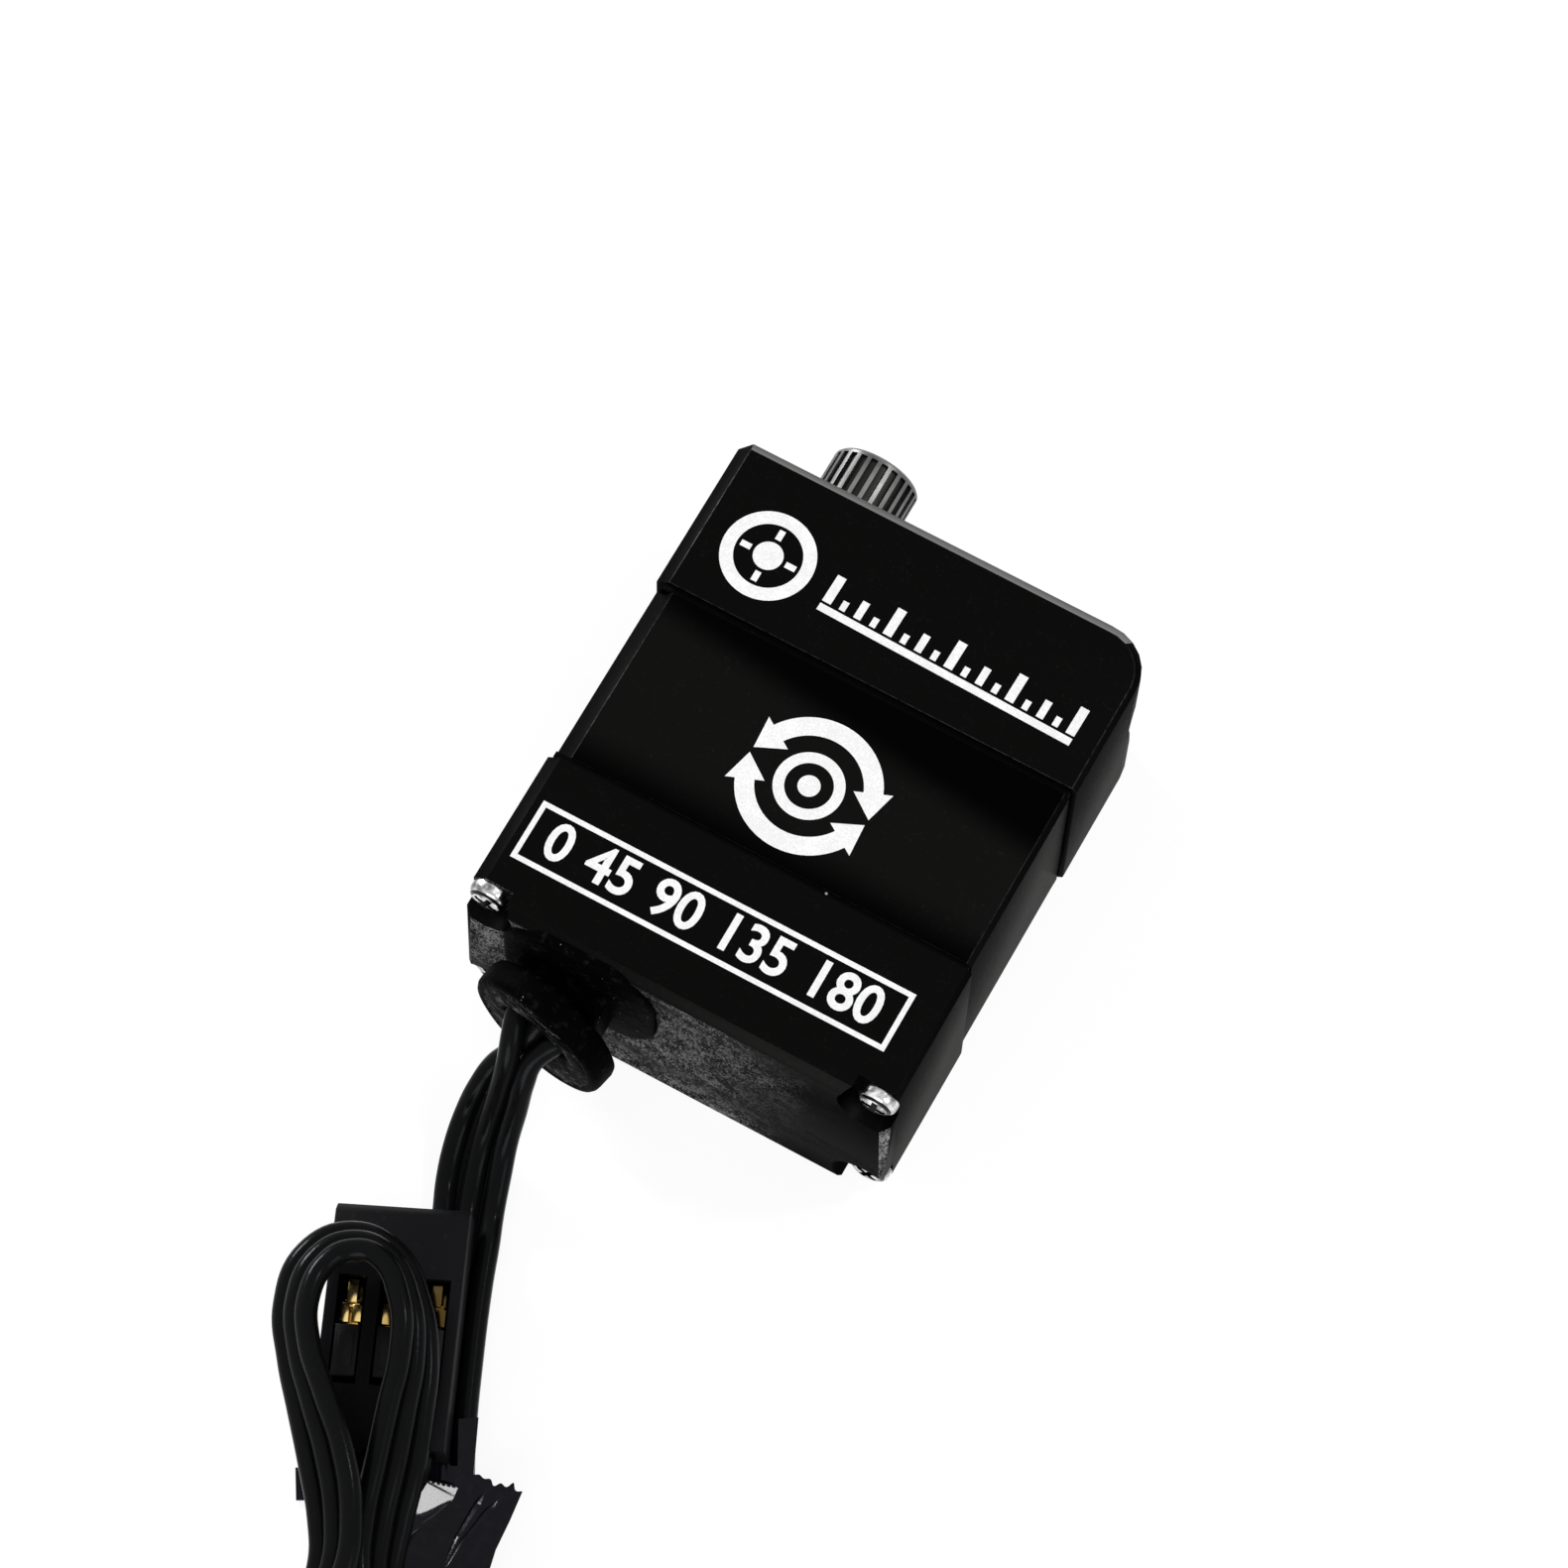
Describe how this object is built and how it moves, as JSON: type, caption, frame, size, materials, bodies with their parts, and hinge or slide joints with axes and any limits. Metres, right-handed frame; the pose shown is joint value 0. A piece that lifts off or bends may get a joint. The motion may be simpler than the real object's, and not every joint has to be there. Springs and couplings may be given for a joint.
{
  "type": "hobby servo motor",
  "caption": "Small rectangular metal-case hobby servo lying on its rear face, with a splined output shaft, a cable grommet and a folded three-wire lead with plug.",
  "frame": {"origin": "middle of the servo's box, case and spline together, on the rear face that it rests on", "axes": "+Z out of the front face, +Y along the output shaft towards the spline, +X across the width"},
  "size_m": [0.0302, 0.0915, 0.0152],
  "materials": {
    "black_anodised": "fine satin black anodising",
    "bright_steel": "bright turned steel",
    "plated_screw": "bright plated",
    "gear_brass": "cut brass",
    "motor_can": "plated drawn steel",
    "black_rubber": "matt, fibrous",
    "black_plastic": "moulded satin",
    "circuit_board": "green solder mask",
    "gold_plating": "gold-plated spring metal",
    "winding": "enamelled copper wire",
    "wire_insulation": "satin silicone insulation",
    "tie_strap": "glossy strap"
  },
  "bodies": {
    "case": {"gear_case": "black_anodised", "middle_case": "black_anodised", "bottom_cover": "black_anodised", "lower_gasket": "black_rubber", "upper_gasket": "black_rubber", "case_screw_1": "plated_screw", "case_screw_2": "plated_screw", "case_screw_3": "plated_screw", "case_screw_4": "plated_screw", "gear_pin_a": "bright_steel", "gear_pin_b": "bright_steel", "upper_bearing_outer_race": "bright_steel", "lower_bearing_outer_race": "bright_steel", "motor_can": "motor_can", "motor_end_cap": "black_plastic", "motor_magnet": "motor_can", "motor_terminal_1": "winding", "motor_terminal_2": "winding", "motor_screw_1": "plated_screw", "motor_screw_2": "plated_screw", "feedback_pot_body": "black_plastic", "feedback_lead_1": "winding", "feedback_lead_2": "winding", "feedback_lead_3": "winding", "circuit_board": "circuit_board", "control_chip": "black_plastic", "motor_driver_chip": "black_plastic", "smoothing_capacitor": "motor_can", "grommet": "black_rubber", "lead_wire_signal": "wire_insulation", "lead_wire_positive": "wire_insulation", "lead_wire_negative": "wire_insulation", "plug_housing": "black_plastic", "plug_contact_1": "gold_plating", "plug_contact_2": "gold_plating", "plug_contact_3": "gold_plating", "plug_wire_1": "wire_insulation", "plug_wire_2": "wire_insulation", "plug_wire_3": "wire_insulation", "lead_hank": "wire_insulation", "lead_tie": "tie_strap"},
    "rotor": {"motor_winding": "winding", "motor_shaft": "bright_steel", "motor_pinion": "gear_brass"},
    "gear_1": {"first_gear": "gear_brass"},
    "gear_2": {"second_gear": "gear_brass"},
    "gear_3": {"third_gear": "gear_brass"},
    "output": {"output_shaft": "bright_steel", "output_gear": "bright_steel", "upper_bearing_inner_race": "bright_steel", "lower_bearing_inner_race": "bright_steel", "feedback_pot_wiper": "bright_steel"},
    "upper_balls": {"upper_bearing_ball_ring": "bright_steel"},
    "lower_balls": {"lower_bearing_ball_ring": "bright_steel"}
  },
  "joints": [
    {"name": "motor_spin", "type": "hinge", "parent": "case", "child": "rotor", "pos_m": [0.0065, 0, 0.0076], "axis": [0, 1, 0], "range_deg": [-10938, 10938]},
    {"name": "gear_1_spin", "type": "hinge", "parent": "case", "child": "gear_1", "pos_m": [0.0005, 0, 0.0076], "axis": [0, 1, 0], "range_deg": [-2190, 2190]},
    {"name": "gear_2_spin", "type": "hinge", "parent": "case", "child": "gear_2", "pos_m": [0.0065, 0, 0.0076], "axis": [0, 1, 0], "range_deg": [-580, 580]},
    {"name": "gear_3_spin", "type": "hinge", "parent": "case", "child": "gear_3", "pos_m": [0.0005, 0, 0.0076], "axis": [0, 1, 0], "range_deg": [-170, 170]},
    {"name": "output_turn", "type": "hinge", "parent": "case", "child": "output", "pos_m": [-0.0075, 0, 0.0076], "axis": [0, 1, 0], "range_deg": [-90, 90]},
    {"name": "upper_balls_orbit", "type": "hinge", "parent": "case", "child": "upper_balls", "pos_m": [-0.0075, 0, 0.0076], "axis": [0, 1, 0], "range_deg": [-45, 45]},
    {"name": "lower_balls_orbit", "type": "hinge", "parent": "case", "child": "lower_balls", "pos_m": [-0.0075, 0, 0.0076], "axis": [0, 1, 0], "range_deg": [-45, 45]}
  ],
  "couplings": [
    {"joint": "gear_1_spin", "follows": "motor_spin", "ratio": -0.2},
    {"joint": "gear_2_spin", "follows": "motor_spin", "ratio": 0.052632},
    {"joint": "gear_3_spin", "follows": "motor_spin", "ratio": -0.01528},
    {"joint": "output_turn", "follows": "motor_spin", "ratio": 0.0082278},
    {"joint": "upper_balls_orbit", "follows": "motor_spin", "ratio": 0.00367},
    {"joint": "lower_balls_orbit", "follows": "motor_spin", "ratio": 0.0036344}
  ]
}
